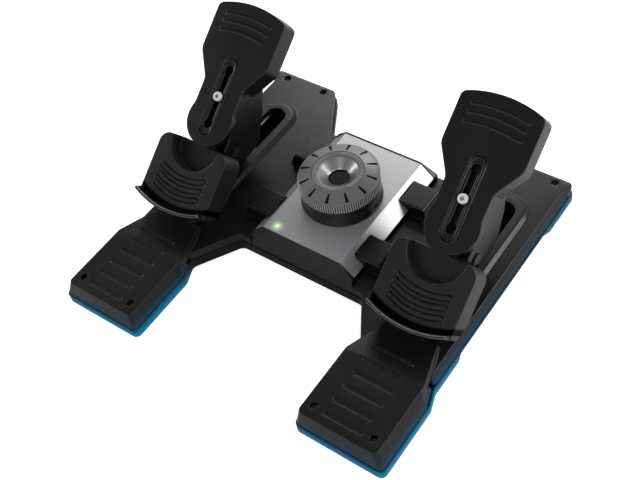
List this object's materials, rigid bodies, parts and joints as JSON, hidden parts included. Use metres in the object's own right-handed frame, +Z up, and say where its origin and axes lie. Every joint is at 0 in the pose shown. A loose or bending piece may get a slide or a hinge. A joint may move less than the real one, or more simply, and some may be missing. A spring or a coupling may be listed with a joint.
{
  "type": "flight simulator rudder pedals",
  "caption": "Floor-standing rudder pedals: two linked sliding pedals with tilting toe brakes, heel cups, an H-shaped base and a central tension dial.",
  "frame": {"origin": "on the floor, at the centre of the base's overall width and depth", "axes": "+Z up, +Y away from the user (toes point that way), +X to the user's right"},
  "size_m": [0.435, 0.41, 0.1964],
  "materials": {
    "base_tray": "satin blue moulded plastic",
    "rubber_feet": "matt",
    "left_deck": "satin black moulded plastic",
    "right_deck": "satin black moulded plastic",
    "deck_screws": "black oxide",
    "guide_rods": "ground and polished",
    "centre_frame": "satin black moulded plastic",
    "frame_screws": "black oxide",
    "centre_cover": "brushed, anodised",
    "front_end_cap": "satin black moulded plastic",
    "rear_end_cap": "satin black moulded plastic",
    "cable_inlet": "matt",
    "main_board": "green solder mask",
    "led_lens": "clear green",
    "pivot_post": "turned",
    "yaw_sensor": "green solder mask",
    "centring_spring": "spring wire",
    "crossbar": "zinc plated",
    "crossbar_bush": "sintered bronze",
    "tension_washer": "spring steel",
    "left_carriage": "satin black moulded plastic",
    "left_rod_bushes": "sintered bronze",
    "left_drive_pin": "turned",
    "left_heel_cup": "satin black moulded plastic",
    "left_cup_screws": "black oxide",
    "left_brake_pin": "turned",
    "left_brake_spring": "spring wire",
    "left_brake_sensor": "satin black moulded plastic",
    "left_toe_lever": "satin black moulded plastic",
    "left_clamp_screw": "bright plated",
    "left_clamp_nut": "zinc plated",
    "left_toe_plate": "satin black moulded plastic",
    "right_carriage": "satin black moulded plastic",
    "right_rod_bushes": "sintered bronze",
    "right_drive_pin": "turned",
    "right_heel_cup": "satin black moulded plastic",
    "right_cup_screws": "black oxide",
    "right_brake_pin": "turned",
    "right_brake_spring": "spring wire",
    "right_brake_sensor": "satin black moulded plastic",
    "right_toe_lever": "satin black moulded plastic",
    "right_clamp_screw": "bright plated",
    "right_clamp_nut": "zinc plated",
    "right_toe_plate": "satin black moulded plastic",
    "dial_skirt": "satin black moulded plastic",
    "dial_ring": "satin grey, knurled",
    "dial_cone": "spun and polished",
    "dial_cap": "satin black moulded plastic",
    "dial_spindle": "turned",
    "tension_nut": "turned"
  },
  "bodies": {
    "base": {"base_tray": "base_tray", "rubber_feet": "rubber_feet", "left_deck": "left_deck", "right_deck": "right_deck", "deck_screws": "deck_screws", "guide_rods": "guide_rods", "centre_frame": "centre_frame", "frame_screws": "frame_screws", "centre_cover": "centre_cover", "front_end_cap": "front_end_cap", "rear_end_cap": "rear_end_cap", "cable_inlet": "cable_inlet", "main_board": "main_board", "led_lens": "led_lens", "pivot_post": "pivot_post", "yaw_sensor": "yaw_sensor", "centring_spring": "centring_spring"},
    "rudder_bar": {"crossbar": "crossbar", "crossbar_bush": "crossbar_bush", "tension_washer": "tension_washer"},
    "left_pedal": {"left_carriage": "left_carriage", "left_rod_bushes": "left_rod_bushes", "left_drive_pin": "left_drive_pin", "left_heel_cup": "left_heel_cup", "left_cup_screws": "left_cup_screws", "left_brake_pin": "left_brake_pin", "left_brake_spring": "left_brake_spring", "left_brake_sensor": "left_brake_sensor"},
    "left_lever": {"left_toe_lever": "left_toe_lever", "left_clamp_screw": "left_clamp_screw", "left_clamp_nut": "left_clamp_nut"},
    "left_toe": {"left_toe_plate": "left_toe_plate"},
    "right_pedal": {"right_carriage": "right_carriage", "right_rod_bushes": "right_rod_bushes", "right_drive_pin": "right_drive_pin", "right_heel_cup": "right_heel_cup", "right_cup_screws": "right_cup_screws", "right_brake_pin": "right_brake_pin", "right_brake_spring": "right_brake_spring", "right_brake_sensor": "right_brake_sensor"},
    "right_lever": {"right_toe_lever": "right_toe_lever", "right_clamp_screw": "right_clamp_screw", "right_clamp_nut": "right_clamp_nut"},
    "right_toe": {"right_toe_plate": "right_toe_plate"},
    "dial": {"dial_skirt": "dial_skirt", "dial_ring": "dial_ring", "dial_cone": "dial_cone", "dial_cap": "dial_cap", "dial_spindle": "dial_spindle"},
    "tension_slider": {"tension_nut": "tension_nut"}
  },
  "joints": [
    {"name": "right_pedal_slide", "type": "slide", "parent": "base", "child": "right_pedal", "axis": [0, 1, 0], "range_m": [-0.05, 0.05], "stiffness_N_per_m": 180},
    {"name": "left_pedal_slide", "type": "slide", "parent": "base", "child": "left_pedal", "axis": [0, 1, 0], "range_m": [-0.05, 0.05]},
    {"name": "rudder_bar_turn", "type": "hinge", "parent": "base", "child": "rudder_bar", "pos_m": [0, 0.0487, 0.00635], "axis": [0, 0, 1], "range_deg": [-17.4, 17.4]},
    {"name": "left_toe_brake", "type": "hinge", "parent": "left_pedal", "child": "left_lever", "pos_m": [-0.1615, 0.02897, 0.06969], "axis": [-1, 0, 0], "range_deg": [0, 15], "stiffness_Nm_per_rad": 4, "springref_deg": -8.59},
    {"name": "left_toe_slide", "type": "slide", "parent": "left_lever", "child": "left_toe", "axis": [0, 0.809, 0.5878], "range_m": [-0.029, 0.029]},
    {"name": "right_toe_brake", "type": "hinge", "parent": "right_pedal", "child": "right_lever", "pos_m": [0.1615, 0.02897, 0.06969], "axis": [-1, 0, 0], "range_deg": [0, 15], "stiffness_Nm_per_rad": 4, "springref_deg": -8.59},
    {"name": "right_toe_slide", "type": "slide", "parent": "right_lever", "child": "right_toe", "axis": [0, 0.809, 0.5878], "range_m": [-0.029, 0.029]},
    {"name": "dial_turn", "type": "hinge", "parent": "base", "child": "dial", "pos_m": [0, 0.0487, 0.0485], "axis": [0, 0, 1], "range_deg": [0, 270]},
    {"name": "tension_nut_slide", "type": "slide", "parent": "base", "child": "tension_slider", "axis": [0, 0, -1], "range_m": [0, 0.0015]}
  ],
  "couplings": [
    {"joint": "left_pedal_slide", "follows": "right_pedal_slide", "ratio": -1},
    {"joint": "rudder_bar_turn", "follows": "right_pedal_slide", "rad_per_m": 6.046},
    {"joint": "tension_nut_slide", "follows": "dial_turn", "m_per_rad": 0.000318}
  ]
}
